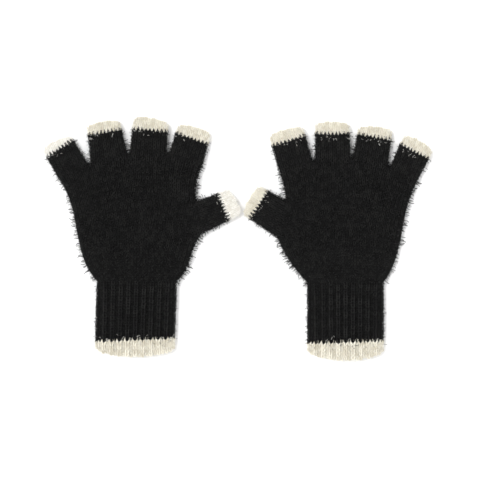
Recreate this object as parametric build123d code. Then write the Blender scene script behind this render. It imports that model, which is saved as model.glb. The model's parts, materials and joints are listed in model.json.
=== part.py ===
from build123d import *
import os
from dataclasses import dataclass
from math import cos, radians, sin, tan

# A pair of fingerless knitted gloves lying flat, side by side, fingers towards +Y.
# Lengths are millimetres.  Each glove is described in a frame of its own: the middle of the
# wrist line is the origin, +Y runs to the fingertips and +X to the thumb.

# Driving dimensions
FABRIC = 2.75            # one layer of brushed knit
FLAT_THICK = 11.0        # a glove as it lies: two layers and the air between them
EDGE_ROUND = 5.0         # how round the folded sides are
CROTCH_GAP = 0.25        # each finger stays this far inside its share of the knuckle line
CROTCH_DEPTH = 5.0       # the two layers are closed this far in from where two fingers part
MOUTH_REACH = 10.0       # how far a finger's mouth reaches back through that closed edge
CUT_OVER = 30.0          # cutting shapes run this far past the faces that they open
INSET_STEPS = 6          # places taken along a side to draw its inner face
EDGE_NARROWING = 0.97    # width of a band's free edge over the width of its seam
BAND_BULGE = 1.2         # the free edge of a finger band bows out by this much

GLOVE_SPACING = 177.0    # wrist middle to wrist middle
WRISTS_X = 2.64          # midway between the wrists; with WRIST_Y it centres the pair's box
WRIST_Y = -36.68         # the wrist line of the left glove
RIGHT_GLOVE_DROP = 1.0   # the right glove lies this much nearer the viewer


@dataclass
class Digit:
    """One finger or thumb: a flat tube that leaves the hand square to its own lean."""

    name: str
    lean: float      # degrees away from +Y, positive towards the little finger
    length: float    # black tube, from the knuckle line to the band
    tip_width: float
    band: float      # length of the cream band
    edge_lean: float  # lean of its free edge, which sags a little out of square


@dataclass
class Glove:
    """Sizes of one glove in its own frame."""

    side: str
    thumb_sign: int        # +1 where the thumb points to +X, -1 where it points to -X
    little_side: list      # outline from the wrist to the little finger
    knuckles: list         # where two digits meet, from the little finger to the index finger
    palm_side: list        # outline from the thumb up to the index finger
    heel_side: list        # outline from the wrist to the thumb
    fingers: list
    thumb: Digit
    cuff_length: float
    cuff_narrowing: float  # how much narrower the cuff is at its hem
    hem_tilt: float        # degrees that its hem's seam rises towards the thumb side
    cuff_sway: float       # how far the hem's middle lies off the wrist's middle
    hem_length: float
    hem_bulge: float


LEFT = Glove(
    side="left", thumb_sign=1,
    little_side=[(-33, 0), (-44, 18), (-49, 37), (-54, 62), (-66.5, 88)],
    knuckles=[(-66.5, 88), (-39.8, 98.5), (-7, 106.6), (25.8, 107.3), (55.5, 99)],
    palm_side=[(49.5, 67.5), (50, 84), (55.5, 99)],
    heel_side=[(33, 0), (45, 20.5), (50, 34), (53.5, 39.5)],
    fingers=[
        Digit("little", 32, 22.4, 25.5, 6.5, 24),
        Digit("ring", 9, 23.8, 27.3, 8.0, 9),
        Digit("middle", -5, 20.9, 28.7, 9.2, -11),
        Digit("index", -19, 18.7, 27.7, 8.8, -15),
    ],
    thumb=Digit("thumb", -67, 23.6, 23.5, 11.3, -62),
    cuff_length=50.0, cuff_narrowing=0.5, hem_tilt=2.4, cuff_sway=-1.5, hem_length=9.0, hem_bulge=5.0,
)

RIGHT = Glove(
    side="right", thumb_sign=-1,
    little_side=[(-31.5, 0), (-40, 15), (-48.5, 50), (-61, 87)],
    knuckles=[(-61, 87), (-36.5, 97.3), (-5, 104.8), (27, 102), (56.5, 96)],
    palm_side=[(50, 69), (51.5, 82), (56.5, 96)],
    heel_side=[(31.5, 0), (49.5, 23), (57, 37.5)],
    fingers=[
        Digit("little", 27.5, 21.0, 26.0, 8.8, 30),
        Digit("ring", 9.5, 22.2, 27.5, 7.8, 5),
        Digit("middle", 0, 22.3, 27.6, 9.0, 1),
        Digit("index", -17, 21.8, 28.2, 8.9, -14),
    ],
    thumb=Digit("thumb", -58, 23.3, 27.0, 8.5, -60),
    cuff_length=51.0, cuff_narrowing=0.5, hem_tilt=-2.0, cuff_sway=0.0, hem_length=9.5, hem_bulge=5.5,
)


def along(lean):
    """The unit direction of a digit with this lean, in plan."""
    return Vector(-sin(radians(lean)), cos(radians(lean)))


def across(lean):
    """The unit direction across that digit, from the little finger side to the thumb side."""
    return Vector(cos(radians(lean)), sin(radians(lean)))


def point(pair):
    """A plan point as a vector."""
    return Vector(pair[0], pair[1])


def narrowed(start, end, margin):
    """The same line, shortened by a margin at both ends."""
    step = (end - start).normalized() * margin
    return start + step, end - step


def solid_slab(face, wall_starts):
    """A plan face as thick as a flat glove, with its closed sides rounded.

    wall_starts holds a point on each closed side; the other sides are mouths and stay square.
    """
    slab = extrude(face, FLAT_THICK, dir=(0, 0, 1))
    edges = slab.edges().filter_by(lambda edge: abs(edge.bounding_box().size.Z) < 0.01)
    sides = [edge for edge in edges if any(lies_on(edge, start) for start in wall_starts)]
    return fillet(sides, EDGE_ROUND)


def lies_on(edge, place):
    """True where a flat edge of the slab runs through this plan point."""
    level = edge.center().Z
    return edge.distance_to(Vector(place.X, place.Y, level)) < 0.05


def cavity(face):
    """The room inside a flat glove over this plan face."""
    return Pos(0, 0, FABRIC) * extrude(face, FLAT_THICK - 2 * FABRIC, dir=(0, 0, 1))


def four_sided(near, far):
    """The plan face between two lines, each given by its two ends."""
    return make_face(Polyline(near[0], near[1], far[1], far[0], near[0], close=False))


def through_cut(near, far):
    """The plan face of the room in a straight tube, run out past both of its mouths."""
    sides = []
    for start, end, inward in ((near[0], far[0], 1), (near[1], far[1], -1)):
        run = (end - start).normalized()
        step = Vector(run.Y, -run.X) * (inward * FABRIC)
        sides.append((start + step - run * CUT_OVER, end + step + run * CUT_OVER))
    return four_sided((sides[0][0], sides[1][0]), (sides[0][1], sides[1][1]))


def straight_tube(near, far):
    """A flat open tube between two mouth lines."""
    walls = [(near[0] + far[0]) * 0.5, (near[1] + far[1]) * 0.5]
    return solid_slab(four_sided(near, far), walls) - cavity(through_cut(near, far))


def edge_tube(near, far, bulge):
    """A flat open tube whose free mouth bows out."""
    run = (far[0] + far[1] - near[0] - near[1]).normalized()
    crown = (far[0] + far[1]) * 0.5 + run * bulge
    outline = [Line(near[0], near[1]), Line(near[1], far[1]), Line(near[0], far[0])]
    outline.append(ThreePointArc(far[0], crown, far[1]))
    walls = [(near[0] + far[0]) * 0.5, (near[1] + far[1]) * 0.5]
    return solid_slab(make_face(outline), walls) - cavity(through_cut(near, far))


def digit_lines(digit, root):
    """The three lines across a digit: its root, the start of its band and its free edge."""
    near = narrowed(root[0], root[1], CROTCH_GAP)
    run, half = along(digit.lean), across(digit.lean) * (digit.tip_width / 2)
    middle = (root[0] + root[1]) * 0.5 + run * digit.length
    seam = (middle - half, middle + half)
    edge = across(digit.edge_lean) * (digit.tip_width * EDGE_NARROWING / 2)
    middle += along((digit.lean + digit.edge_lean) / 2) * digit.band
    return near, seam, (middle - edge, middle + edge)


def thumb_root(glove):
    """The two ends of the line where the thumb leaves the hand."""
    return point(glove.palm_side[0]), point(glove.heel_side[-1])


def roots(glove):
    """Each digit with the two ends of its root line."""
    ends = [point(knuckle) for knuckle in glove.knuckles]
    pairs = list(zip(glove.fingers, zip(ends, ends[1:])))
    return pairs + [(glove.thumb, thumb_root(glove))]


def side_curves(glove):
    """The three closed sides of the hand: little finger side, heel of the thumb, palm side."""
    sides = (glove.little_side, glove.heel_side, glove.palm_side)
    return [Spline([point(place) for place in side]) for side in sides]


def hand_face(glove):
    """The plan outline of the hand, wrist to knuckles."""
    little, heel, palm = side_curves(glove)
    knuckles = [Line(*root) for digit, root in roots(glove)]
    return make_face([Line(little @ 0, heel @ 0), little, heel, palm] + knuckles)


def inset(curve, inward):
    """A curve one layer of fabric inside a closed side; inward is +1 to its left."""
    places = []
    for step in range(INSET_STEPS + 1):
        share = step / INSET_STEPS
        run = curve % share
        places.append(curve @ share + Vector(-run.Y, run.X) * (inward * FABRIC))
    return Spline(places)


def room_face(glove):
    """The plan of the room for the palm, closed towards the digits and the wrist."""
    little, heel, palm = side_curves(glove)
    little, heel, palm = inset(little, -1), inset(heel, 1), inset(palm, 1)
    parting = [point(place) - Vector(0, CROTCH_DEPTH) for place in glove.knuckles[1:-1]]
    top = Polyline(little @ 1, *parting, palm @ 1)
    joins = [Line(little @ 0, heel @ 0), Line(heel @ 1, palm @ 0)]
    return make_face([little, heel, palm, top] + joins)


def mouth_face(root, reach_in, reach_out):
    """The plan face of a mouth through the wall of the hand at a root line."""
    start, end = narrowed(root[0], root[1], FABRIC + CROTCH_GAP)
    run = (end - start).normalized()
    outward = Vector(-run.Y, run.X)
    near = (start - outward * reach_in, end - outward * reach_in)
    return four_sided(near, (start + outward * reach_out, end + outward * reach_out))


def hand_shell(glove):
    """The bag of the palm and back, open at the wrist and at the five digits."""
    walls = [point(side[1]) for side in (glove.little_side, glove.heel_side, glove.palm_side)]
    shell = solid_slab(hand_face(glove), walls)
    rooms = [room_face(glove)]
    rooms += [mouth_face(root, MOUTH_REACH, CUT_OVER) for digit, root in roots(glove)]
    wrist = (point(glove.heel_side[0]), point(glove.little_side[0]))
    rooms.append(mouth_face(wrist, MOUTH_REACH, CUT_OVER))
    for room in rooms:
        shell -= cavity(room)
    return shell


def cuff_lines(glove):
    """The three lines across the cuff: the wrist, the start of the hem and its free edge."""
    wrist = (point(glove.heel_side[0]), point(glove.little_side[0]))
    half = Vector((glove.heel_side[0][0] * 2 - glove.cuff_narrowing) / 2, 0)
    middle = Vector(glove.cuff_sway, -glove.cuff_length)
    rise = Vector(0, half.X * tan(radians(glove.hem_tilt)))
    seam = (middle + half + rise, middle - half - rise)
    drop = Vector(0, -glove.hem_length)
    return wrist, seam, (middle + half + drop, middle - half + drop)


def glove_pieces(glove):
    """Every piece of one glove, by node name, in the glove's own frame."""
    pieces = {f"{glove.side}_hand": hand_shell(glove)}
    wrist, seam, free = cuff_lines(glove)
    pieces[f"{glove.side}_cuff"] = straight_tube(wrist, seam)
    pieces[f"{glove.side}_cuff_hem"] = edge_tube(seam, free, glove.hem_bulge)
    for digit, root in roots(glove):
        near, seam, free = digit_lines(digit, root)
        kind = "thumb" if digit.name == "thumb" else f"{digit.name}_finger"
        pieces[f"{glove.side}_{kind}"] = straight_tube(near, seam)
        pieces[f"{glove.side}_{kind}_band"] = edge_tube(seam, free, BAND_BULGE)
    return pieces


def wrist_place(glove):
    """Where the middle of the glove's wrist lies in the pair's frame."""
    drop = RIGHT_GLOVE_DROP if glove.side == "right" else 0
    return WRISTS_X - glove.thumb_sign * GLOVE_SPACING / 2, WRIST_Y - drop


def placed(glove, shape):
    """A piece of a glove, turned and moved to where the glove lies in the pair."""
    if glove.thumb_sign < 0:
        shape = mirror(shape, about=Plane.YZ)
    x, y = wrist_place(glove)
    return Pos(x, y, 0) * shape


def pair_pieces():
    """Every piece of the pair, by node name, where it lies."""
    pieces = {}
    for glove in (LEFT, RIGHT):
        for name, shape in glove_pieces(glove).items():
            pieces[name] = placed(glove, shape)
    return pieces


def main():
    """Write one STEP file for each piece."""
    os.makedirs("parts", exist_ok=True)
    for name, shape in pair_pieces().items():
        export_step(shape, f"parts/{name}.step")


if __name__ == "__main__":
    main()
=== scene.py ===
import json
import logging
import math
from dataclasses import dataclass, field, replace
from enum import Enum
from typing import Any, Callable

import bmesh
import bpy
import numpy as np
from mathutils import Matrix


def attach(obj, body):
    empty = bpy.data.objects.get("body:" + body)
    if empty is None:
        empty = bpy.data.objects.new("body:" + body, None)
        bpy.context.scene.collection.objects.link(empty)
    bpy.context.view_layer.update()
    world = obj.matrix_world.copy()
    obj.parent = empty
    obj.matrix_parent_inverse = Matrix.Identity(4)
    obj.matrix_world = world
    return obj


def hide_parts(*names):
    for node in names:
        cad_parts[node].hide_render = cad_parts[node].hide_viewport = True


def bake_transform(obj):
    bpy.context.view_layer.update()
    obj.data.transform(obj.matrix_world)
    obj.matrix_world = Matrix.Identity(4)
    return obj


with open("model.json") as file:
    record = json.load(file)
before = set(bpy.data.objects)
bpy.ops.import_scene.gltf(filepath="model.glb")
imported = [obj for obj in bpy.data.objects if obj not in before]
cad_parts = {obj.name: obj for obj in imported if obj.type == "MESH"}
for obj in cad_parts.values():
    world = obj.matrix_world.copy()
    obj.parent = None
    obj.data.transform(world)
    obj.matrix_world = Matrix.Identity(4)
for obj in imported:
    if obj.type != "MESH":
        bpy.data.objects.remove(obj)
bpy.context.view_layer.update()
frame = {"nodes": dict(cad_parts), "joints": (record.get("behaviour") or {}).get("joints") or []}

LOG = logging.getLogger("gloves")
MM = 0.001
# The free edges of the bands are felted a little unevenly: how far, the length of the waves, and
# what shifts them from one band to the next.
EDGE_WOBBLE, EDGE_WAVE, EDGE_SHIFT = 0.4 * MM, 1.3 * MM, 1e3
# One leg of a stitch, and one hair: start, two handles and end, for a stitch or hair of unit size.
LEG = ((0.08, -0.66, -0.02), (0.20, -0.36, 0.46), (0.38, 0.10, 0.46), (0.27, 0.62, 0.00))
HAIR = ((0.0, 0.0, -0.05), (0.0, 0.0, 0.42), (0.0, 0.15, 0.85), (0.0, 0.68, 0.82))
LOOSE_TURN = (0.10, 0.10, 0.16)
# How thick a strand is at its root, its belly and its tip, by share of its length.
SWELL = ((0.0, 0.6), (0.4, 1.0), (1.0, 0.4))
# Most hairs are short: the draw for a hair's length is raised to this power.
SHORT_BIAS = 2.0
LEAN_SEED, LENGTH_SEED = 11, 23
# How finely a band's edge, a notch and a side of the hand are drawn.
EDGE_STEPS, NOTCH_STEPS, SIDE_STEPS = 40, 12, 16
# Vertices nearer than the first are one; edges shorter than the second are dissolved.
WELD, SLIVER = 2e-6, 1e-7
Array = np.ndarray


# ---------------------------------------------------------------- colour and nodes


def linear(code: str) -> tuple[float, float, float, float]:
    """Turn an sRGB hex colour to linear light.

    Args:
        code: Six hex digits after a #.

    Returns:
        Red, green and blue, linear, and an alpha of 1.
    """
    digits = code.lstrip("#")
    shares = [int(digits[i : i + 2], 16) / 255 for i in (0, 2, 4)]
    red, green, blue = (s / 12.92 if s <= 0.04045 else ((s + 0.055) / 1.055) ** 2.4 for s in shares)
    return red, green, blue, 1.0


def add_node(tree: Any, kind: str, inputs: dict | None = None, **settings: Any) -> Any:
    """Add a node to a tree, set it up and link it.

    Args:
        tree: The node tree.
        kind: The node's type name.
        inputs: For an input's name or number, a value or the output that feeds it.
        settings: The node's own properties.

    Returns:
        The new node.
    """
    made = tree.nodes.new(kind)
    for name, value in settings.items():
        setattr(made, name, value)
    for key, value in (inputs or {}).items():
        if isinstance(value, bpy.types.NodeSocket):
            tree.links.new(value, made.inputs[key])
        else:
            made.inputs[key].default_value = value
    return made


# ---------------------------------------------------------------- finishes


@dataclass(frozen=True)
class Yarn:
    """A dyed, brushed acrylic yarn, as the stitches and loose fibres show it."""

    name: str
    tones: tuple[str, ...]
    roughness: float
    sheen: float
    sheen_colour: str
    sheen_spread: float = 0.45
    specular: float = 0.25

    def materials(self) -> list[bpy.types.Material]:
        """Return one plain material for each tone, made the first time that they are asked for."""
        found = [bpy.data.materials.get(f"{self.name}_{i}") for i in range(len(self.tones))]
        return [have or self._tone(i) for i, have in enumerate(found)]

    def _tone(self, index: int) -> bpy.types.Material:
        """Make the material of one tone.

        Args:
            index: Which of the tones.

        Returns:
            The new material.
        """
        material = bpy.data.materials.new(f"{self.name}_{index}")
        material.use_nodes = True
        shader = material.node_tree.nodes["Principled BSDF"]
        shader.inputs["Base Color"].default_value = linear(self.tones[index])
        shader.inputs["Roughness"].default_value = self.roughness
        shader.inputs["Specular IOR Level"].default_value = self.specular
        shader.inputs["Sheen Weight"].default_value = self.sheen
        shader.inputs["Sheen Roughness"].default_value = self.sheen_spread
        shader.inputs["Sheen Tint"].default_value = linear(self.sheen_colour)
        material.diffuse_color = linear(self.tones[index])
        return material


@dataclass(frozen=True)
class KnitGround:
    """The brushed ground between the stitches, darker than the yarn: painted shade for the valleys, mottled,
    with a nap of broken fibre ends.
    """

    name: str
    low: str
    high: str
    mottle_mm: float
    nap_mm: float
    sheen: float
    sheen_spread: float = 0.5
    specular: float = 0.2
    roughness: float = 0.95
    mottle_ends: tuple[float, float] = (0.35, 0.65)
    bump: float = 0.6
    bump_mm: float = 0.4

    def material(self) -> bpy.types.Material:
        """Return the ground's material, made the first time that it is asked for."""
        return bpy.data.materials.get(self.name) or self._make()

    def _make(self) -> bpy.types.Material:
        """Build the ground: mottled colour, darker than the yarn as painted shade, and a nap of fine fibre
        bumps.

        Returns:
            The new material.
        """
        material = bpy.data.materials.new(self.name)
        material.use_nodes = True
        tree = material.node_tree
        shader = tree.nodes["Principled BSDF"]
        shader.inputs["Roughness"].default_value = self.roughness
        shader.inputs["Specular IOR Level"].default_value = self.specular
        shader.inputs["Sheen Weight"].default_value = self.sheen
        shader.inputs["Sheen Roughness"].default_value = self.sheen_spread
        spot = add_node(tree, "ShaderNodeTexCoord").outputs["Object"]
        mottle = add_node(tree, "ShaderNodeTexNoise", {
            "Vector": spot, "Scale": 1 / (self.mottle_mm * MM), "Detail": 4.0})
        ramp = add_node(tree, "ShaderNodeValToRGB", {"Fac": mottle.outputs["Fac"]})
        for stop, place, colour in zip(ramp.color_ramp.elements, self.mottle_ends, (self.low, self.high)):
            stop.position, stop.color = place, linear(colour)
        tree.links.new(ramp.outputs["Color"], shader.inputs["Base Color"])
        nap = add_node(tree, "ShaderNodeTexNoise", {
            "Vector": spot, "Scale": 1 / (self.nap_mm * MM), "Detail": 3.0, "Roughness": 0.7})
        bump = add_node(tree, "ShaderNodeBump", {
            "Height": nap.outputs["Fac"], "Strength": self.bump, "Distance": self.bump_mm * MM})
        tree.links.new(bump.outputs["Normal"], shader.inputs["Normal"])
        return material


# Brushed black acrylic, spun and dyed: near black, with a grey bloom where raised fibres catch light.
BLACK_YARN = Yarn("black_brushed_acrylic", ("#080808", "#101010", "#1B1B1A"), 0.85, 0.08, "#8C8C90")
# Undyed cream acrylic: warm off-white, some rounds a little yellower or pinker.
CREAM_YARN = Yarn("cream_brushed_acrylic", ("#DFDACB", "#E9E5D7", "#D4CEBD"), 0.85, 0.15, "#FFFAF0")
# The black ground is painted shade: near black and darker than the yarn, it stands for the dark valleys
# between the stitches; the cream one, a little darker than its yarn, is their painted soft shade.
BLACK_GROUND_SHADE = KnitGround("black_felted_ground", "#050505", "#0E0E0D", 6.0, 0.45, 0.03)
CREAM_GROUND_SHADE = KnitGround("cream_felted_ground", "#D8D3C4", "#E2DDD0", 5.0, 0.45, 0.1)
# The same yarn where it is less felted: cleaner and whiter.
PALE_YARN = Yarn("pale_cream_acrylic", ("#F2F0EA", "#F8F6F1", "#EAE7DF"), 0.85, 0.15, "#FFFDF8")
# The pale ground, darker than the pale yarn, is painted shade between its stitches.
PALE_GROUND_SHADE = KnitGround("pale_felted_ground", "#DEDBD2", "#EAE7DF", 5.0, 0.45, 0.1)


class Cloth(Enum):
    """The yarns of the glove, each with its ground."""

    BLACK = (BLACK_YARN, BLACK_GROUND_SHADE)
    CREAM = (CREAM_YARN, CREAM_GROUND_SHADE)
    PALE = (PALE_YARN, PALE_GROUND_SHADE)

    @property
    def yarn(self) -> Yarn:
        """The yarn of the stitches and fibres."""
        return self.value[0]

    @property
    def ground(self) -> KnitGround:
        """The ground under the stitches, coloured as painted shade."""
        return self.value[1]

    @property
    def nap(self) -> Yarn:
        """The yarn of the brushed-out hairs, which are paler than cream knit is."""
        return PALE_YARN if self is Cloth.CREAM else self.yarn


# ---------------------------------------------------------------- plan shapes from the frame


def plan_points(node: str) -> Array:
    """Return a CAD node's vertices seen from above, as rows of x and y."""
    return np.array([vertex.co[:2] for vertex in frame["nodes"][node].data.vertices], float)


def hull_corners(points: Array, least_turn: float = 30.0) -> Array:
    """Find the sharp corners of the outline round some plan points.

    Args:
        points: Rows of x and y.
        least_turn: A corner turns the outline by more than this, in degrees.

    Returns:
        The corners, counter-clockwise.
    """
    ordered = sorted(set(map(tuple, np.round(points, 6))))
    chain: list[tuple[float, float]] = []
    for run in (ordered, ordered[::-1]):
        start = len(chain)
        for x, y in run:
            while len(chain) >= start + 2:
                (ax, ay), (bx, by) = chain[-2], chain[-1]
                if (bx - ax) * (y - ay) - (by - ay) * (x - ax) > 1e-9:
                    break
                chain.pop()
            chain.append((x, y))
        chain.pop()
    ring = np.array(chain)
    before, after = ring - np.roll(ring, 1, 0), np.roll(ring, -1, 0) - ring
    turn = np.degrees(np.arctan2(
        before[:, 0] * after[:, 1] - before[:, 1] * after[:, 0], (before * after).sum(1)))
    return ring[turn > least_turn]


def side_extents(node: str, levels: Array) -> tuple[Array, Array]:
    """Find how far a node reaches to the left and right at some levels of y.

    Args:
        node: The CAD node.
        levels: The values of y.

    Returns:
        The least and the greatest x at each level.
    """
    mesh = frame["nodes"][node].data
    places = plan_points(node)
    ends = np.array([edge.vertices[:] for edge in mesh.edges])
    a, b = places[ends[:, 0]], places[ends[:, 1]]
    low, high = [], []
    for level in levels:
        crossing = (a[:, 1] - level) * (b[:, 1] - level) <= 0
        p, q = a[crossing], b[crossing]
        rise = np.where(np.abs(q[:, 1] - p[:, 1]) < 1e-9, 1e-9, q[:, 1] - p[:, 1])
        x = p[:, 0] + (q[:, 0] - p[:, 0]) * np.clip((level - p[:, 1]) / rise, 0, 1)
        low.append(x.min())
        high.append(x.max())
    return np.array(low), np.array(high)


def joint_named(name: str) -> dict:
    """Return the frame's joint of that name."""
    return next(joint for joint in frame["joints"] if joint["name"] == name)


def along_line(points: Array, share: Array) -> Array:
    """Return places along a polyline.

    Args:
        points: The polyline's corners, as rows.
        share: How far along it each place is, from 0 to 1.

    Returns:
        One row of x and y for each share.
    """
    steps = np.concatenate([[0.0], np.cumsum(np.linalg.norm(np.diff(points, axis=0), axis=1))])
    reach = np.asarray(share) * steps[-1]
    return np.stack([np.interp(reach, steps, points[:, axis]) for axis in (0, 1)], -1)


def clearance(places: Array, sides: Array) -> Array:
    """Measure how far plan places lie from the glove's closed sides.

    Args:
        places: Rows of x and y.
        sides: The side segments, as rows of two ends.

    Returns:
        The distance of each place to the nearest side.
    """
    start, run = sides[:, 0], sides[:, 1] - sides[:, 0]
    length = np.maximum((run ** 2).sum(1), 1e-12)
    nearest = np.full(len(places), 1e9)
    for origin, step, square in zip(start, run, length):
        share = np.clip(((places - origin) @ step) / square, 0, 1)
        gap = places - origin - share[:, None] * step
        nearest = np.minimum(nearest, np.hypot(gap[:, 0], gap[:, 1]))
    return nearest


# ---------------------------------------------------------------- geometry node trees


@dataclass
class Tree:
    """A Geometry Nodes tree with named inputs, applied to a mesh and turned to a plain mesh."""

    name: str
    inputs: dict[str, tuple[str, Any]]
    wire: Callable[[Any, dict], Any]

    def group(self) -> bpy.types.NodeTree:
        """Build the node tree the first time that it is asked for.

        Returns:
            The node tree.
        """
        have = bpy.data.node_groups.get(self.name)
        if have:
            return have
        tree = bpy.data.node_groups.new(self.name, "GeometryNodeTree")
        tree.interface.new_socket(name="Geometry", in_out="INPUT", socket_type="NodeSocketGeometry")
        for label, (kind, default) in self.inputs.items():
            socket = tree.interface.new_socket(name=label, in_out="INPUT", socket_type=kind)
            if default is not None:
                socket.default_value = default
        tree.interface.new_socket(name="Geometry", in_out="OUTPUT", socket_type="NodeSocketGeometry")
        given = add_node(tree, "NodeGroupInput").outputs
        result = self.wire(tree, {socket.name: socket for socket in given})
        add_node(tree, "NodeGroupOutput", {"Geometry": result})
        return tree

    def apply(self, base: bpy.types.Mesh, name: str, **values: Any) -> bpy.types.Object:
        """Run the tree on a mesh and keep the result as a plain mesh object.

        Args:
            base: The mesh that the tree starts from.
            name: The new piece's name.
            values: The inputs, with spaces in their names written as underscores.

        Returns:
            The finished object, at the origin, with no modifier.
        """
        carrier = bpy.data.objects.new(f"{name}_base", base)
        bpy.context.scene.collection.objects.link(carrier)
        modifier = carrier.modifiers.new(self.name, "NODES")
        modifier.node_group = self.group()
        for item in modifier.node_group.interface.items_tree:
            key = item.name.replace(" ", "_").lower()
            if item.item_type == "SOCKET" and item.in_out == "INPUT" and key in values:
                modifier[item.identifier] = values[key]
        evaluated = carrier.evaluated_get(bpy.context.evaluated_depsgraph_get())
        mesh = bpy.data.meshes.new_from_object(evaluated)
        mesh.name = name
        if mesh.materials[0] is None:
            mesh.materials.pop(index=0)
        for label in ("tone", "size", "out", "run"):
            if label in mesh.attributes:
                mesh.attributes.remove(mesh.attributes[label])
        carrier.modifiers.clear()
        bpy.data.objects.remove(carrier)
        bpy.data.meshes.remove(base)
        piece = bpy.data.objects.new(name, mesh)
        bpy.context.scene.collection.objects.link(piece)
        return piece


def yarn_strand(tree: Any, ends: tuple, thickness: Any, profile: int, steps: int) -> Any:
    """Wire one bent, tapered strand of yarn.

    Args:
        tree: The Geometry Nodes tree.
        ends: Start, two handles and end of its curve.
        thickness: Its radius at its thickest, a number or an output.
        profile: How many sides its section has.
        steps: How many spans it is cut into.

    Returns:
        The output that carries the strand's mesh.
    """
    start, lift, settle, end = ends
    curve = add_node(tree, "GeometryNodeCurvePrimitiveBezierSegment", {
        "Resolution": steps, "Start": start, "Start Handle": lift,
        "End Handle": settle, "End": end}, mode="POSITION")
    share = add_node(tree, "GeometryNodeSplineParameter").outputs["Factor"]
    swell = add_node(tree, "ShaderNodeFloatCurve", {"Value": share})
    points = swell.mapping.curves[0].points
    points[0].location, points[1].location = SWELL[0], SWELL[2]
    points.new(*SWELL[1])
    swell.mapping.update()
    shaped = add_node(tree, "GeometryNodeSetCurveRadius", {
        "Curve": curve.outputs["Curve"], "Radius": swell.outputs["Value"]})
    ring = add_node(tree, "GeometryNodeCurvePrimitiveCircle", {"Resolution": profile, "Radius": thickness})
    return add_node(tree, "GeometryNodeCurveToMesh", {
        "Curve": shaped.outputs["Curve"], "Profile Curve": ring.outputs["Curve"],
        "Fill Caps": True, "Scale": swell.outputs["Value"]}).outputs["Mesh"]


def dressed(tree: Any, instances: Any, given: dict) -> Any:
    """Give each instance one of three tones at random and turn them all to real mesh.

    Args:
        tree: The Geometry Nodes tree.
        instances: The output that carries the instances.
        given: The tree's inputs, Tone 0 to Tone 2 and Seed among them.

    Returns:
        The output that carries the finished mesh.
    """
    pick = add_node(tree, "FunctionNodeRandomValue", {4: 0, 5: 2, "Seed": given["Seed"]}, data_type="INT")
    marked = add_node(tree, "GeometryNodeStoreNamedAttribute", {
        "Geometry": instances, "Name": "tone", "Value": pick.outputs[2]},
        data_type="INT", domain="INSTANCE")
    real = add_node(tree, "GeometryNodeRealizeInstances", {"Geometry": marked.outputs["Geometry"]})
    smooth = add_node(tree, "GeometryNodeSetShadeSmooth", {"Geometry": real.outputs["Geometry"]})
    result = smooth.outputs["Geometry"]
    tone = add_node(tree, "GeometryNodeInputNamedAttribute", {"Name": "tone"}, data_type="INT")
    for index in range(3):
        chosen = add_node(tree, "FunctionNodeCompare", {
            2: tone.outputs["Attribute"], 3: index}, data_type="INT", operation="EQUAL")
        result = add_node(tree, "GeometryNodeSetMaterial", {
            "Geometry": result, "Selection": chosen.outputs["Result"],
            "Material": given[f"Tone {index}"]}).outputs["Geometry"]
    return result


def turned_to(tree: Any, out: Any, run: Any) -> Any:
    """Wire a rotation that takes Z to one direction and Y as near as it can to another.

    Args:
        tree: The Geometry Nodes tree.
        out: The output that carries the direction for Z.
        run: The output that carries the direction for Y.

    Returns:
        The output that carries the rotation.
    """
    upright = add_node(tree, "FunctionNodeAlignRotationToVector", {"Vector": out}, axis="Z")
    return add_node(tree, "FunctionNodeAlignRotationToVector", {
        "Rotation": upright.outputs["Rotation"], "Vector": run},
        axis="Y", pivot_axis="Z").outputs["Rotation"]


def wire_stitches(tree: Any, given: dict) -> Any:
    """Wire the stitch tree: a V of two bent yarn legs on every point of the base.

    Args:
        tree: The Geometry Nodes tree.
        given: Its inputs by name.

    Returns:
        The output that carries the stitches.
    """
    read = {
        name: add_node(tree, "GeometryNodeInputNamedAttribute", {"Name": name}, data_type="FLOAT_VECTOR")
        .outputs["Attribute"] for name in ("out", "run", "size")
    }
    legs = []
    for side in (-1, 1):
        ends = tuple((x * side, y, z) for x, y, z in LEG)
        legs.append(yarn_strand(tree, ends, given["Yarn Radius"], 4, 3))
    stitch = add_node(tree, "GeometryNodeJoinGeometry")
    for leg in legs:
        tree.links.new(leg, stitch.inputs["Geometry"])
    points = add_node(tree, "GeometryNodeMeshToPoints", {"Mesh": given["Geometry"]})
    sway = add_node(tree, "FunctionNodeRandomValue", {
        "Min": tuple(-turn for turn in LOOSE_TURN), "Max": LOOSE_TURN, "Seed": given["Seed"]},
        data_type="FLOAT_VECTOR")
    square = turned_to(tree, read["out"], read["run"])
    loose = add_node(tree, "FunctionNodeRotateRotation", {
        "Rotation": square,
        "Rotate By": add_node(tree, "FunctionNodeEulerToRotation", {
            "Euler": sway.outputs[0]}).outputs["Rotation"]}, rotation_space="LOCAL")
    placed = add_node(tree, "GeometryNodeInstanceOnPoints", {
        "Points": points.outputs["Points"], "Instance": stitch.outputs["Geometry"],
        "Rotation": loose.outputs["Rotation"], "Scale": read["size"]})
    return dressed(tree, placed.outputs["Instances"], given)


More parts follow.
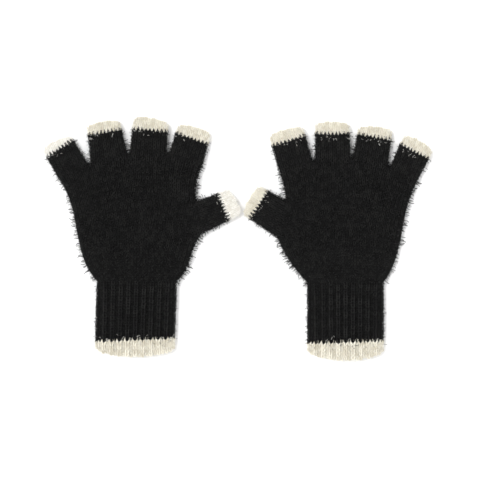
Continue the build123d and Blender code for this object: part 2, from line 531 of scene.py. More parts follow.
def wire_fibres(tree: Any, given: dict) -> Any:
    """Wire the fibre tree: fine bent hairs, leaning every way, scattered over a surface.

    Args:
        tree: The Geometry Nodes tree.
        given: Its inputs by name.

    Returns:
        The output that carries the hairs.
    """
    scatter = add_node(tree, "GeometryNodeDistributePointsOnFaces", {
        "Mesh": given["Geometry"], "Density": given["Density"], "Seed": given["Seed"]})
    hair = yarn_strand(tree, HAIR, given["Slenderness"], 3, 3)
    spin = add_node(tree, "FunctionNodeRandomValue", {2: 0.0, 3: 2 * math.pi, "Seed": given["Seed"]})
    tilt = add_node(tree, "FunctionNodeRandomValue", {
        2: given["Least Lean"], 3: given["Most Lean"], "Seed": LEAN_SEED})
    euler = add_node(tree, "ShaderNodeCombineXYZ", {0: tilt.outputs[1], 2: spin.outputs[1]})
    lean = add_node(tree, "FunctionNodeRotateRotation", {
        "Rotation": scatter.outputs["Rotation"],
        "Rotate By": add_node(tree, "FunctionNodeEulerToRotation", {
            "Euler": euler.outputs[0]}).outputs["Rotation"]}, rotation_space="LOCAL")
    draw = add_node(tree, "FunctionNodeRandomValue", {2: 0.0, 3: 1.0, "Seed": LENGTH_SEED})
    rarely = add_node(tree, "ShaderNodeMath", {0: draw.outputs[1], 1: SHORT_BIAS}, operation="POWER")
    length = add_node(tree, "ShaderNodeMapRange", {
        "Value": rarely.outputs[0], "To Min": given["Shortest"], "To Max": given["Longest"]})
    placed = add_node(tree, "GeometryNodeInstanceOnPoints", {
        "Points": scatter.outputs["Points"], "Instance": hair,
        "Rotation": lean.outputs["Rotation"], "Scale": length.outputs["Result"]})
    return dressed(tree, placed.outputs["Instances"], given)


TONES = {f"Tone {index}": ("NodeSocketMaterial", None) for index in range(3)}
STITCH_TREE = Tree("knit_stitches", {
    "Yarn Radius": ("NodeSocketFloat", 0.2), "Seed": ("NodeSocketInt", 1), **TONES}, wire_stitches)
FIBRE_TREE = Tree("brushed_fibres", {
    "Density": ("NodeSocketFloat", 1e5), "Least Lean": ("NodeSocketFloat", 0.5),
    "Most Lean": ("NodeSocketFloat", 1.4), "Shortest": ("NodeSocketFloat", 0.001),
    "Longest": ("NodeSocketFloat", 0.004), "Slenderness": ("NodeSocketFloat", 0.05),
    "Seed": ("NodeSocketInt", 1), **TONES}, wire_fibres)


def tones_of(yarn: Yarn) -> dict[str, bpy.types.Material]:
    """Return a yarn's three materials under the names of the trees' inputs."""
    return {f"tone_{index}": material for index, material in enumerate(yarn.materials())}


# ---------------------------------------------------------------- the lie of one glove


@dataclass
class Border:
    """The plan of one knitted piece: four edges that meet at its corners.

    Across runs from side 0 to side 1 and out runs from the near edge to the far edge, so that
    across, out and up are right-handed.
    """

    near: Array
    far: Array
    side_0: Array
    side_1: Array
    parts: tuple[float, ...] = (0.0, 1.0)

    def plan(self, across: Array, out: Array) -> Array:
        """Place shares of the piece in plan, as a Coons patch of its edges.

        Args:
            across: Share of the way from side 0 to side 1, for each place.
            out: Share of the way from the near edge to the far edge.

        Returns:
            Rows of x and y.
        """
        a, o = across[:, None], out[:, None]
        ruled = (1 - o) * along_line(self.near, across) + o * along_line(self.far, across)
        ruled += (1 - a) * along_line(self.side_0, out) + a * along_line(self.side_1, out)
        low = (1 - a) * self.near[0] + a * self.near[-1]
        high = (1 - a) * self.far[0] + a * self.far[-1]
        return ruled - (1 - o) * low - o * high


def joint_across(joint: dict) -> tuple[Array, Array, Array]:
    """Return where a fold lies in plan, the way across it and the way out over it."""
    place, axis = np.array(joint["pos_m"], float), np.array(joint["axis"], float)
    return place[:2], axis[:2], np.array((-axis[1], axis[0]))


def tube_ends(node: str, joint: dict) -> tuple[Array, Array]:
    """Find the two mouth lines of a straight tube.

    Args:
        node: The tube's CAD node.
        joint: The fold at its root.

    Returns:
        The near line and the far line, each from side 0 to side 1.
    """
    place, across, out = joint_across(joint)
    corners = hull_corners(plan_points(node))
    corners = corners[np.argsort((corners - place) @ out)]
    lines = [ends[np.argsort((ends - place) @ across)] for ends in (corners[:2], corners[-2:])]
    return lines[0], lines[1]


def free_edge(node: str, seam: Array, drop: float, soften: float) -> Array:
    """Draw the free edge of a band, bowed out in the middle and rounded at its corners.

    Args:
        node: The band's CAD node.
        seam: The line where it is joined to its tube, from side 0 to side 1.
        drop: How far the corners draw back.
        soften: How far in from the corners the edge is rounded.

    Returns:
        The edge, from side 0 to side 1.
    """
    points = plan_points(node)
    corners = hull_corners(points)
    gap = np.linalg.norm(corners[:, None] - seam[None], axis=2).min(1)
    ends = corners[np.argsort(gap)[-2:]]
    across = seam[1] - seam[0]
    ends = ends[np.argsort(ends @ across)]
    chord = ends[1] - ends[0]
    width = np.linalg.norm(chord)
    out = np.array((-chord[1], chord[0])) / width
    bow = ((points - ends[0]) @ out).max()
    share = (1 - np.cos(np.linspace(0, math.pi, EDGE_STEPS + 1))) / 2
    inward = 1 - np.clip(np.minimum(share, 1 - share) * width / soften, 0, 1)
    rise = bow * 4 * share * (1 - share) - drop * (1 - np.sqrt(1 - inward ** 2))
    rise += EDGE_WOBBLE * (1 - inward) * np.sin(width * share / EDGE_WAVE + EDGE_SHIFT * bow)
    return ends[0] + share[:, None] * chord + rise[:, None] * out


@dataclass
class Lie:
    """How one glove lies: its closed sides in plan, and its thickness over the plan."""

    middle: float = 5.5 * MM
    thick: float = 4.5 * MM
    roll: float = 6.0 * MM
    swell: float = 17.0 * MM
    swell_share: float = 0.16
    slack: float = 0.22 * MM
    chunk: int = 20000
    waves: tuple[tuple[float, float, float], ...] = (
        (118.0, 31.0, 0.6), (-64.0, 95.0, 2.1), (171.0, -140.0, 4.0), (40.0, 205.0, 1.2))
    walls: list[Array] = field(default_factory=list)

    def add_side(self, line: Array) -> None:
        """Note a closed side, where the two layers are one fold."""
        self.walls += [np.stack((a, b)) for a, b in zip(line, line[1:])]

    def fold(self, gap: Array, reach: float) -> Array:
        """Return the share of full thickness at a distance from a fold of that reach."""
        inward = 1 - np.clip(gap / reach, 0, 1)
        return np.sqrt(np.maximum(1 - inward ** 2, 0))

    def half(self, places: Array) -> tuple[Array, Array]:
        """Work out how thick the glove lies.

        Args:
            places: Rows of x and y.

        Returns:
            Half the thickness at each place, and its share of what it is far from any fold.
        """
        sides = np.array(self.walls)
        parts = np.array_split(places, 1 + len(places) // self.chunk)
        gap = np.concatenate([clearance(part, sides) for part in parts])
        gap[gap < 1e-7] = 0
        full = self.fold(gap, self.roll)
        dome = self.fold(gap, self.swell)
        return self.thick * full * (1 - self.swell_share + self.swell_share * dome), full

    def ripple(self, places: Array) -> Array:
        """Return the slack of the upper layer, as a share from about -1 to 1."""
        return sum(np.sin(x * places[:, 0] + y * places[:, 1] + at) for x, y, at in self.waves) / 2.4


@dataclass(frozen=True)
class Knit:
    """How a piece is knitted: yarn, gauge, ribs and nap.

    Yarn radius, lift, waver and uneven are shares of a stitch.  Overlap is how much of a stitch
    reaches over the seam at each end, where stitches are tooth times as large.  Purl and crest
    are how wide a stitch is in a rib's valley and on its crest.
    """

    cloth: Cloth
    slot: str
    columns: tuple[int, ...]
    rows: int
    way: int = 1
    ribs: float = 0.0
    rib_height: float = 0.0
    rib_fade: tuple[float, float] = (0.0, 0.0)
    yarn_radius: float = 0.27
    lift: float = 0.85
    hairs_per_mm2: float = 0.33
    hair_lengths: tuple[float, float] = (1.9 * MM, 5.8 * MM)
    hair_slenderness: float = 0.12
    hair_leans: tuple[float, float] = (0.35, 1.45)
    overlap: tuple[float, float] = (0.0, 0.0)
    waver: float = 0.16
    uneven: float = 0.12
    tooth: float = 1.25
    purl: float = 0.55
    crest: float = 1.22


@dataclass(frozen=True)
class Motion:
    """What a piece moves with: one body, or two with a fold between them; a piece over a fold is baked in
    place and left unattached.
    """

    body: str
    beyond: str | None = None
    start: tuple[float, float, float] | None = None
    end: tuple[float, float, float] | None = None

    def give(self, piece: bpy.types.Object) -> None:
        """Attach a piece to its one body; a piece that lies over a fold is only baked in place.

        Args:
            piece: The piece.
        """
        if self.beyond is None:
            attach(piece, self.body)
        else:
            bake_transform(piece)


def mesh_of(name: str, places: Array, faces: list) -> bpy.types.Mesh:
    """Make a smooth mesh, with the vertices that lie on each other merged.

    Args:
        name: The mesh's name.
        places: Rows of x, y and z.
        faces: The corners of each face, as numbers of places.

    Returns:
        The new mesh.
    """
    mesh = bpy.data.meshes.new(name)
    mesh.from_pydata([tuple(place) for place in places], [], faces)
    work = bmesh.new()
    work.from_mesh(mesh)
    bmesh.ops.remove_doubles(work, verts=work.verts, dist=WELD)
    bmesh.ops.dissolve_degenerate(work, edges=work.edges, dist=SLIVER)
    work.to_mesh(mesh)
    work.free()
    mesh.polygons.foreach_set("use_smooth", [True] * len(mesh.polygons))
    mesh.update()
    return mesh


def settled(piece: bpy.types.Object, contact: float = 0.5 * MM) -> bpy.types.Object:
    """Press the parts of a piece that would sink into the table flat against it.

    Args:
        piece: The piece, at the origin.
        contact: The height under which the piece is pressed.

    Returns:
        The same piece.
    """
    mesh = piece.data
    places = np.empty(len(mesh.vertices) * 3, np.float32)
    mesh.vertices.foreach_get("co", places)
    height = places[2::3]
    height[:] = np.where(height < contact, contact * np.exp((height - contact) / contact), height)
    mesh.vertices.foreach_set("co", places)
    mesh.update()
    return piece


@dataclass
class Panel:
    """One knitted piece that lies flat, two layers thick: shell, stitches and loose fibres."""

    name: str
    border: Border
    lie: Lie
    knit: Knit
    motion: Motion
    mesh_columns: tuple[int, ...]
    mesh_rows: Array
    flatten: tuple[float, float] = (1.0, 1.0)
    fabric: float = 2.0 * MM
    lip: float = 0.0
    lip_angle: float = math.radians(50)
    rib_onset: float = 0.25
    side_extra: float = 0.45
    probe: float = 0.002
    row_steps: int = 160
    seed: int = 1

    def layer(self, across: Array, out: Array, face: int) -> Array:
        """Place shares of the piece on its upper or lower layer.

        Args:
            across: Share of the way from side 0 to side 1.
            out: Share of the way from the near edge to the far edge.
            face: +1 for the upper layer, -1 for the lower.

        Returns:
            Rows of x, y and z.
        """
        plan = self.border.plan(across, out)
        half, full = self.lie.half(plan)
        ease = out * out * (3 - 2 * out)
        half = half * (self.flatten[0] + (self.flatten[1] - self.flatten[0]) * ease)
        if self.knit.ribs:
            first, last = self.knit.rib_fade
            fade = first + (last - first) * np.clip(out / self.rib_onset, 0, 1)
            half = half + self.knit.rib_height * fade * full * self.rib_wave(across)
        if face > 0:
            half = half + self.lie.slack * full * self.lie.ripple(plan)
        return np.column_stack((plan, self.lie.middle + face * half))

    def rib_wave(self, across: Array) -> Array:
        """Work out the ribs, evenly along the fabric.

        Args:
            across: Share of the way from side 0 to side 1.

        Returns:
            +1 on a rib's crest, down to -1 in the valley between two.
        """
        width = np.linalg.norm(self.border.near[-1] - self.border.near[0])
        reach, extra = self.lie.roll, self.side_extra * self.lie.roll
        place = across * width
        bend = np.clip(place / reach, 0, 1) + np.clip((place - width + reach) / reach, 0, 1)
        share = (place + extra * bend) / (width + 2 * extra)
        return np.cos(2 * math.pi * self.knit.ribs * (share - 0.5))

    def even(self, rows: Array, counts: tuple[int, ...], offset: float) -> tuple[Array, Array, Array]:
        """Divide every row evenly along the fabric.

        Args:
            rows: The rows, as shares of the way out.
            counts: The columns in each part of the piece.
            offset: 0 for the lines between columns, 0.5 for their middles.

        Returns:
            Share across, share out and column width, one row of the array for each row.
        """
        wave = (1 - np.cos(np.linspace(0, math.pi, self.row_steps + 1))) / 2
        shares, widths = [], []
        for low, high, count in zip(self.border.parts, self.border.parts[1:], counts):
            fine = low + (high - low) * wave
            grid_a, grid_o = np.meshgrid(fine, rows)
            places = self.layer(grid_a.ravel(), grid_o.ravel(), -1).reshape(len(rows), len(fine), 3)
            steps = np.linalg.norm(np.diff(places, axis=1), axis=2)
            length = np.concatenate([np.zeros((len(rows), 1)), np.cumsum(steps, 1)], 1)
            last = offset == 0 and high == self.border.parts[-1]
            marks = (np.arange(count + last) + offset) / count
            shares.append(np.stack([np.interp(marks * run[-1], run, fine) for run in length]))
            widths.append(np.repeat(length[:, -1:] / count, len(marks), 1))
        across = np.concatenate(shares, 1)
        return across, np.repeat(rows[:, None], across.shape[1], 1), np.concatenate(widths, 1)

    def skin(self, name: str) -> bpy.types.Mesh:
        """Make the outer surface, open only at its mouths.

        Args:
            name: The mesh's name.

        Returns:
            The new mesh.
        """
        across, out, _ = self.even(self.mesh_rows, self.mesh_columns, 0.0)
        rows, columns = across.shape
        layers = [self.layer(across.ravel(), out.ravel(), face) for face in (1, -1)]
        faces = []
        for row in range(rows - 1):
            for column in range(columns - 1):
                a = row * columns + column
                quad = (a, a + 1, a + 1 + columns, a + columns)
                faces.append(quad)
                faces.append(tuple(corner + rows * columns for corner in quad[::-1]))
        return mesh_of(name, np.concatenate(layers), faces)

    def build_shell(self) -> bpy.types.Object:
        """Make the knitted ground, as thick as one layer of fabric.

        Returns:
            The shell, at the origin, with no modifier.
        """
        raw = bpy.data.objects.new(f"{self.name}_raw", self.skin(f"{self.name}_raw"))
        bpy.context.scene.collection.objects.link(raw)
        wall = raw.modifiers.new("fabric", "SOLIDIFY")
        wall.thickness, wall.offset = self.fabric, -1.0
        if self.lip:
            edge = raw.modifiers.new("lip", "BEVEL")
            edge.width, edge.segments, edge.limit_method = self.lip, 2, "ANGLE"
            edge.angle_limit = self.lip_angle
        evaluated = raw.evaluated_get(bpy.context.evaluated_depsgraph_get())
        mesh = bpy.data.meshes.new_from_object(evaluated)
        mesh.name = f"{self.name}_shell"
        skin = raw.data
        raw.modifiers.clear()
        bpy.data.objects.remove(raw)
        bpy.data.meshes.remove(skin)
        mesh.materials.clear()
        # The ground's colour is painted shade: darker than the yarn, it stands for the valleys between the
        # stitches.
        mesh.materials.append(self.knit.cloth.ground.material())
        shell = bpy.data.objects.new(f"{self.name}_shell", mesh)
        bpy.context.scene.collection.objects.link(shell)
        return shell

    def stitch_points(self) -> bpy.types.Mesh:
        """Mark the middle of each stitch, with the ways it faces and runs, and its size.

        Returns:
            A mesh of loose points with the attributes out, run and size.
        """
        first, last = 0.5 - self.knit.overlap[0], self.knit.rows - 0.5 + self.knit.overlap[1]
        rows = np.linspace(first, last, self.knit.rows) / self.knit.rows
        across, out, wide = (part.ravel() for part in self.even(rows, self.knit.columns, 0.5))
        shift = np.random.default_rng(self.seed).uniform(-1, 1, (len(out), 2))
        out = np.clip(out + shift[:, 0] * self.knit.waver / self.knit.rows, 0, 1)
        broad = 1 + self.knit.uneven * shift[:, 1]
        at_seam = (out < 0.5 / self.knit.rows) * (self.knit.overlap[0] > 0)
        at_seam = at_seam | ((out > 1 - 0.5 / self.knit.rows) * (self.knit.overlap[1] > 0))
        broad = broad * np.where(at_seam, self.knit.tooth, 1.0)
        if self.knit.ribs:
            high = (1 + self.rib_wave(across)) / 2
            broad = broad * (self.knit.purl + (self.knit.crest - self.knit.purl) * high)
        found: dict[str, list] = {"at": [], "out": [], "run": [], "size": []}
        for face in (1, -1):
            left, right = np.clip(across - self.probe, 0, 1), np.clip(across + self.probe, 0, 1)
            back, ahead = np.clip(out - self.probe, 0, 1), np.clip(out + self.probe, 0, 1)
            sideways = self.layer(right, out, face) - self.layer(left, out, face)
            onward = (self.layer(across, ahead, face) - self.layer(across, back, face)) / (
                ahead - back)[:, None]
            facing = np.cross(sideways, onward) * face
            facing /= np.maximum(np.linalg.norm(facing, axis=1), 1e-12)[:, None]
            pitch = np.linalg.norm(onward, axis=1) / self.knit.rows
            found["at"].append(self.layer(across, out, face))
            found["out"].append(facing)
            found["run"].append(onward * self.knit.way)
            long = pitch * np.where(at_seam, self.knit.tooth, 1.0)
            found["size"].append(np.column_stack((wide * broad, long, wide * broad * self.knit.lift)))
        mesh = bpy.data.meshes.new(f"{self.name}_points")
        mesh.from_pydata([tuple(place) for place in np.concatenate(found["at"])], [], [])
        for label in ("out", "run", "size"):
            layer = mesh.attributes.new(label, "FLOAT_VECTOR", "POINT")
            layer.data.foreach_set("vector", np.concatenate(found[label]).astype(np.float32).ravel())
        return mesh

    def build_stitches(self) -> bpy.types.Object:
        """Knit the piece's face: one V of yarn for each stitch.

        Returns:
            The stitches, at the origin.
        """
        return settled(STITCH_TREE.apply(
            self.stitch_points(), f"{self.name}_stitches", yarn_radius=self.knit.yarn_radius,
            seed=self.seed, **tones_of(self.knit.cloth.yarn)))

    def build_fibres(self) -> bpy.types.Object:
        """Raise the loose fibres that brushing pulled out of the piece.

        Returns:
            The fibres, at the origin.
        """
        knit = self.knit
        return settled(FIBRE_TREE.apply(
            self.skin(f"{self.name}_nap"), f"{self.name}_fibres", density=knit.hairs_per_mm2 / MM ** 2,
            least_lean=knit.hair_leans[0], most_lean=knit.hair_leans[1], shortest=knit.hair_lengths[0],
            longest=knit.hair_lengths[1], slenderness=knit.hair_slenderness, seed=self.seed,
            **tones_of(knit.cloth.nap)))

    def build(self) -> list[bpy.types.Object]:
        """Make the piece and make it stand for its CAD node.

        Returns:
            Its shell, stitches and fibres.
        """
        made = [self.build_shell(), self.build_stitches(), self.build_fibres()]
        for piece in made:
            self.motion.give(piece)
        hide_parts(self.name)
        return made


@dataclass(frozen=True)
class Strays:
    """Loose hairs of one yarn that lie over the knit beyond its seam."""

    name: str
    over: Panel
    shares: tuple[float, float]
    cloth: Cloth
    slot: str
    body: str
    hairs_per_mm2: float
    lengths: tuple[float, float] = (2.8 * MM, 5.2 * MM)
    slenderness: float = 0.085
    leans: tuple[float, float] = (0.85, 1.3)

    def build(self) -> list[bpy.types.Object]:
        """Scatter the hairs over their strip of knit.

        Returns:
            The hairs, as the one piece of a list.
        """
        strip = replace(self.over, mesh_rows=np.linspace(*self.shares, 4))
        piece = settled(FIBRE_TREE.apply(
            strip.skin(f"{self.name}_strip"), self.name, density=self.hairs_per_mm2 / MM ** 2,
            least_lean=self.leans[0], most_lean=self.leans[1], shortest=self.lengths[0],
            longest=self.lengths[1], slenderness=self.slenderness, seed=self.over.seed + 7,
            **tones_of(self.cloth.nap)))
        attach(piece, self.body)
        return [piece]


# ---------------------------------------------------------------- the glove


def even_rows(length: float, pitch: float) -> Array:
    """Return equal rows over a length, no further apart than a pitch."""
    return np.linspace(0, 1, max(2, math.ceil(length / pitch)) + 1)


def fold_ends(joint: dict, first: float, last: float) -> dict[str, tuple[float, float, float]]:
    """Find where the fabric over a fold starts and ends its turn.

    Args:
        joint: The fold's joint.
        first: How far past the fold line the turn starts.
        last: How far past it the turn ends.

    Returns:
        The places start and end.
    """
    place, _, out = joint_across(joint)
    height = joint["pos_m"][2]
    return {key: (*(place + out * reach), height) for key, reach in (("start", first), ("end", last))}


@dataclass
class Glove:
    """One fingerless glove: the hand, four fingers and a thumb with cream bands, and a cuff."""

    side: str
    fingers: tuple[str, ...] = ("little", "ring", "middle", "index")
    mesh_pitch: float = 1.7 * MM
    turn_over: float = 12.0 * MM
    wrist_turn: float = 16.0 * MM
    band_drop: float = 2.6 * MM
    band_soften: float = 4.5 * MM
    hem_drop: float = 2.6 * MM
    hem_soften: float = 6.0 * MM
    finger_columns: int = 10
    finger_rows: int = 8
    band_rows: int = 4
    digit_mesh_columns: int = 22
    cuff_mesh_columns: int = 88
    hem_pitch: float = 1.4 * MM
    notch: float = 1.1 * MM
    notch_rise: float = 0.4
    turn_start: float = 0.4 * MM
    pale: tuple[str, ...] = ()
    seed: int = 100

    def node(self, name: str) -> str:
        """Return the CAD node of one of this glove's pieces."""
        kind = "thumb" if name == "thumb" else f"{name}_finger"
        return f"{self.side}_{kind}"

    def read(self) -> None:
        """Read the glove's lines from the frame."""
        self.lie = Lie()
        names = (*self.fingers, "thumb")
        self.joints = {name: joint_named(f"{self.node(name)}_fold") for name in names}
        self.wrist_joint = joint_named(f"{self.side}_wrist_fold")
        self.ends = {name: tube_ends(self.node(name), self.joints[name]) for name in names}
        self.wrist, self.cuff_seam = tube_ends(f"{self.side}_cuff", self.wrist_joint)
        order = sorted(self.fingers, key=lambda name: self.ends[name][0][:, 0].mean())
        for left, right in zip(order, order[1:]):
            crotch = (self.ends[left][0][1] + self.ends[right][0][0]) / 2
            self.ends[left][0][1] = self.ends[right][0][0] = crotch
        self.order = order
        self.bands = {
            name: free_edge(f"{self.node(name)}_band", self.ends[name][1], self.band_drop, self.band_soften)
            for name in names}
        self.hem = free_edge(f"{self.side}_cuff_hem", self.cuff_seam, self.hem_drop, self.hem_soften)
        self.hand = self.hand_border()
        for name in names:
            for side in (0, 1):
                self.lie.add_side(self.tube_side(name, side))
        for name, edge in self.bands.items():
            self.lie.add_side(np.stack((self.ends[name][1][0], edge[0])))
            self.lie.add_side(np.stack((self.ends[name][1][1], edge[-1])))
        for near, far in ((self.wrist, self.cuff_seam), (self.cuff_seam, self.hem)):
            self.lie.add_side(np.stack((near[0], far[0])))
            self.lie.add_side(np.stack((near[1], far[-1])))

    def tube_side(self, name: str, side: int) -> Array:
        """Draw one side of a digit's tube, which is drawn in just above a notch.

        Args:
            name: The digit.
            side: 0 or 1, the side of the tube.

        Returns:
            The side, from its near end to its far end.
        """
        near, far = (ends[side] for ends in self.ends[name])
        if name == "thumb" or name == self.order[-side]:
            return np.stack((near, far))
        share = np.linspace(0, 1, NOTCH_STEPS + 1)[:, None]
        inward = self.ends[name][0][1 - side] - near
        inward /= np.linalg.norm(inward)
        return near + share * (far - near) + self.notch * np.sin(math.pi * share ** self.notch_rise) * inward

    def hand_border(self) -> Border:
        """Read the outline of the hand, and note its closed sides.

        Returns:
            The hand's border, from the wrist to the knuckles.
        """
        node = f"{self.side}_hand"
        wrist = self.wrist[np.argsort(self.wrist[:, 0])]
        knuckles = [self.ends[self.order[0]][0][0]] + [self.ends[name][0][1] for name in self.order]
        thumb = self.ends["thumb"][0][np.argsort(self.ends["thumb"][0][:, 1])]
        self.thumb_at_right = thumb[:, 0].mean() > wrist[:, 0].mean()
        sides = []
        for at_right in (False, True):
            top = knuckles[-1] if at_right else knuckles[0]
            bottom = wrist[1] if at_right else wrist[0]
            inner = [*thumb] if at_right == self.thumb_at_right else []
            stops = [bottom, *inner, top]
            line: list[Array] = [bottom]
            marks = []
            for index, (low, high) in enumerate(zip(stops, stops[1:])):
                levels = np.linspace(low[1], high[1], SIDE_STEPS + 1)[1:-1]
                open_line = len(inner) == 2 and index == 1
                if not open_line:
                    reach = side_extents(node, levels)[1 if at_right else 0]
                    run = [low, *np.column_stack((reach, levels)), high]
                    self.lie.add_side(np.array(run))
                    line += run[1:]
                else:
                    line.append(high)
                marks.append(len(line) - 1)
            track = np.array(line)
            steps = np.concatenate([[0], np.cumsum(np.linalg.norm(np.diff(track, axis=0), axis=1))])
            if inner:
                self.thumb_shares = tuple(steps[marks[:2]] / steps[-1])
            sides.append(track)
        far = np.array(knuckles)
        steps = np.concatenate([[0], np.cumsum(np.linalg.norm(np.diff(far, axis=0), axis=1))])
        return Border(wrist, far, sides[0], sides[1], tuple(steps / steps[-1]))

    def hand_rows(self) -> Array:
        """Space the rows of the hand so that those at the thumb meet the thumb's own columns.

        Returns:
            The rows, as shares of the way out.
        """
        low, high = self.thumb_shares
        length = np.linalg.norm(np.diff(self.hand.side_1, axis=0), axis=1).sum()
        thumb = self.tube("thumb")
        across, _, _ = thumb.even(np.array([0.0]), (self.digit_mesh_columns,), 0.0)
        marks = across[0] if self.thumb_at_right is False else 1 - across[0][::-1]
        return np.concatenate([
            low * even_rows(low * length, self.mesh_pitch)[:-1],
            low + (high - low) * marks,
            high + (1 - high) * even_rows((1 - high) * length, self.mesh_pitch)[1:]])

    def tube(self, name: str) -> Panel:
        """Lay out the black tube of a digit.

        Args:
            name: The digit.

        Returns:
            The tube.
        """
        near, far = self.ends[name]
        border = Border(near, far, self.tube_side(name, 0), self.tube_side(name, 1))
        knit = Knit(Cloth.BLACK, "black_brushed_yarn", (self.finger_columns,), self.finger_rows,
                    hair_lengths=(1.5 * MM, 4.4 * MM), overlap=(0.0, 0.62))
        body = self.node(name)
        turn = fold_ends(self.joints[name], self.turn_start, self.turn_over)
        motion = Motion(f"{self.side}_hand", body, **turn)
        length = np.linalg.norm(far.mean(0) - near.mean(0))
        return Panel(body, border, self.lie, knit, motion, (self.digit_mesh_columns,),
                     even_rows(length, self.mesh_pitch), seed=self.seed + len(name))

    def band(self, name: str) -> Panel:
        """Lay out the cream band of a digit.

        Args:
            name: The digit.

        Returns:
            The band.
        """
        seam, edge = self.ends[name][1], self.bands[name]
        border = Border(seam, edge, np.stack((seam[0], edge[0])), np.stack((seam[1], edge[-1])))
        cloth = Cloth.PALE if name in self.pale else Cloth.CREAM
        knit = Knit(cloth, "cream_edge_yarn", (self.finger_columns,), self.band_rows,
                    hairs_per_mm2=0.8, hair_lengths=(1.2 * MM, 3.2 * MM))
        length = np.linalg.norm(edge.mean(0) - seam.mean(0))
        return Panel(f"{self.node(name)}_band", border, self.lie, knit, Motion(self.node(name)),
                     (self.digit_mesh_columns,), even_rows(length, self.mesh_pitch),
                     flatten=(1.0, 0.82), lip=0.7 * MM, seed=self.seed + 20 + len(name))

    def panels(self) -> list[Panel]:
        """Lay out every piece of the glove, from the hem up.

        Returns:
            The pieces.
        """
        hand, cuff = f"{self.side}_hand", f"{self.side}_cuff"
        palm = Knit(Cloth.BLACK, "black_brushed_yarn", (9, 9, 9, 8), 42)
        rib = Knit(Cloth.BLACK, "black_rib_yarn", (21,), 22, way=-1, ribs=10.5,
                   rib_height=0.95 * MM, rib_fade=(0.4, 1.0), yarn_radius=0.25, lift=0.85,
                   hair_lengths=(1.3 * MM, 3.6 * MM))
        hem = Knit(Cloth.CREAM, "cream_edge_yarn", (21,), 5, way=-1, ribs=10.5,
                   rib_height=0.55 * MM, rib_fade=(1.0, 0.7), yarn_radius=0.27,
                   hairs_per_mm2=0.8, hair_lengths=(1.2 * MM, 3.2 * MM), overlap=(0.55, 0.0), purl=0.9)
        cuff_length = np.linalg.norm(self.cuff_seam.mean(0) - self.wrist.mean(0))
        hem_length = np.linalg.norm(self.hem.mean(0) - self.cuff_seam.mean(0))
        turn = fold_ends(self.wrist_joint, self.turn_start, self.wrist_turn)
        made = [
            Panel(f"{cuff}_hem", Border(
                self.cuff_seam, self.hem, np.stack((self.cuff_seam[0], self.hem[0])),
                np.stack((self.cuff_seam[1], self.hem[-1]))), self.lie, hem,
                Motion(cuff), (self.cuff_mesh_columns,), even_rows(hem_length, self.hem_pitch),
                flatten=(1.0, 0.85), lip=0.7 * MM, seed=self.seed + 1),
            Panel(cuff, Border(
                self.wrist, self.cuff_seam, np.stack((self.wrist[0], self.cuff_seam[0])),
                np.stack((self.wrist[1], self.cuff_seam[1]))), self.lie, rib, Motion(hand, cuff, **turn),
                (self.cuff_mesh_columns,), even_rows(cuff_length, self.mesh_pitch), seed=self.seed + 2),
            Panel(hand, self.hand, self.lie, palm, Motion(hand), (self.digit_mesh_columns,) * 4,
                  self.hand_rows(), seed=self.seed + 3),
        ]
        for name in (*self.fingers, "thumb"):
            made += [self.tube(name), self.band(name)]
        return made

    def strays(self, panels: dict[str, Panel]) -> list[Strays]:
        """Return the hairs that cross each seam between black and cream.

        Args:
            panels: The glove's pieces by name.

        Returns:
            The strays of every band, of the hem and of the cuff.
        """
        cuff = f"{self.side}_cuff"
        found = [
            Strays(f"{cuff}_hem_strays", panels[cuff], (0.92, 1.0), Cloth.CREAM, "cream_edge_yarn",
                   cuff, 0.05),
            Strays(f"{cuff}_strays", panels[f"{cuff}_hem"], (0.0, 0.4), Cloth.BLACK, "black_rib_yarn",
                   cuff, 0.04)]
        for name in (*self.fingers, "thumb"):
            digit = self.node(name)
            cloth = panels[f"{digit}_band"].knit.cloth
            found.append(Strays(f"{digit}_band_strays", panels[digit], (0.8, 1.0), cloth,
                                "cream_edge_yarn", digit, 0.07))
        return found

    def build(self) -> list[bpy.types.Object]:
        """Read the frame and make every piece.

        Returns:
            The finished pieces.
        """
        self.read()
        panels = {panel.name: panel for panel in self.panels()}
        return [piece for part in (*panels.values(), *self.strays(panels)) for piece in part.build()]


# ---------------------------------------------------------------- studio


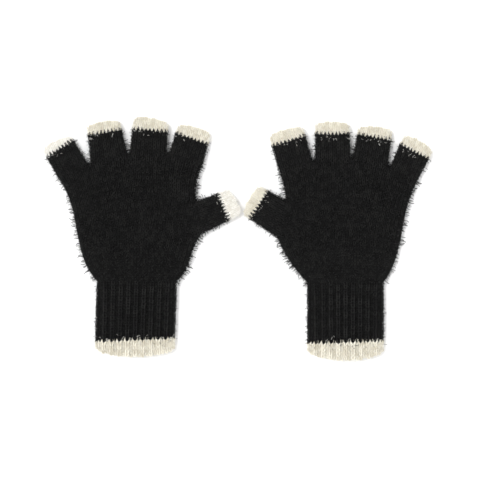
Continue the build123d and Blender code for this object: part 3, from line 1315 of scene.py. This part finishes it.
@dataclass
class Studio:
    """A white table, soft light from the upper left, and a camera straight above."""

    view_centre: tuple[float, float] = (0.0017, -0.0018)
    view_width: float = 0.408
    camera_height: float = 3.0
    sensor: float = 36.0
    table_half: float = 6.0
    dome: float = 1.1
    key_power: float = 1.5
    key_angle: float = 20.0
    key_tilt: tuple[float, float, float] = (-10.0, -20.0, 0.0)
    paper: str = "#FDFDFD"

    def table(self) -> None:
        """Lay the white paper that the gloves lie on."""
        paper = bpy.data.materials.new("white_studio_paper")
        paper.use_nodes = True
        tree = paper.node_tree
        shader = tree.nodes["Principled BSDF"]
        shader.inputs["Roughness"].default_value = 0.9
        shader.inputs["Specular IOR Level"].default_value = 0.1
        shader.inputs["Base Color"].default_value = linear(self.paper)
        half = self.table_half
        mesh = bpy.data.meshes.new("table")
        mesh.from_pydata([(-half, -half, 0), (half, -half, 0), (half, half, 0), (-half, half, 0)],
                         [], [(0, 1, 2, 3)])
        mesh.materials.append(paper)
        table = bpy.data.objects.new("table", mesh)
        bpy.context.scene.collection.objects.link(table)

    def light(self) -> None:
        """Hang the soft key light, and fill from all round."""
        world = bpy.data.worlds.new("white_room")
        world.use_nodes = True
        room = world.node_tree.nodes["Background"]
        room.inputs["Color"].default_value = linear("#FFFFFF")
        room.inputs["Strength"].default_value = self.dome
        bpy.context.scene.world = world
        lamp = bpy.data.lights.new("soft_key", "SUN")
        lamp.energy, lamp.angle = self.key_power, math.radians(self.key_angle)
        key = bpy.data.objects.new("soft_key", lamp)
        key.rotation_euler = tuple(math.radians(turn) for turn in self.key_tilt)
        bpy.context.scene.collection.objects.link(key)

    def camera(self) -> None:
        """Set the camera straight above the pair."""
        data = bpy.data.cameras.new("above")
        data.sensor_width = self.sensor
        data.lens = self.sensor * self.camera_height / self.view_width
        data.clip_end = 100
        camera = bpy.data.objects.new("above", data)
        camera.location = (*self.view_centre, self.camera_height)
        bpy.context.scene.collection.objects.link(camera)
        bpy.context.scene.camera = camera

    def build(self) -> None:
        """Set up the whole studio."""
        self.table()
        self.light()
        self.camera()
        bpy.context.scene.view_settings.view_transform = "Standard"


def main() -> None:
    """Build the pair of gloves in its studio."""
    logging.basicConfig(level=logging.INFO, format="%(name)s: %(message)s")
    Studio().build()
    for glove in (Glove("left", seed=100, pale=("thumb", "little")), Glove("right", seed=150)):
        for piece in glove.build():
            piece.data.calc_loop_triangles()
            LOG.info("%s: %d triangles", piece.name, len(piece.data.loop_triangles))


if __name__ == "__main__":
    main()
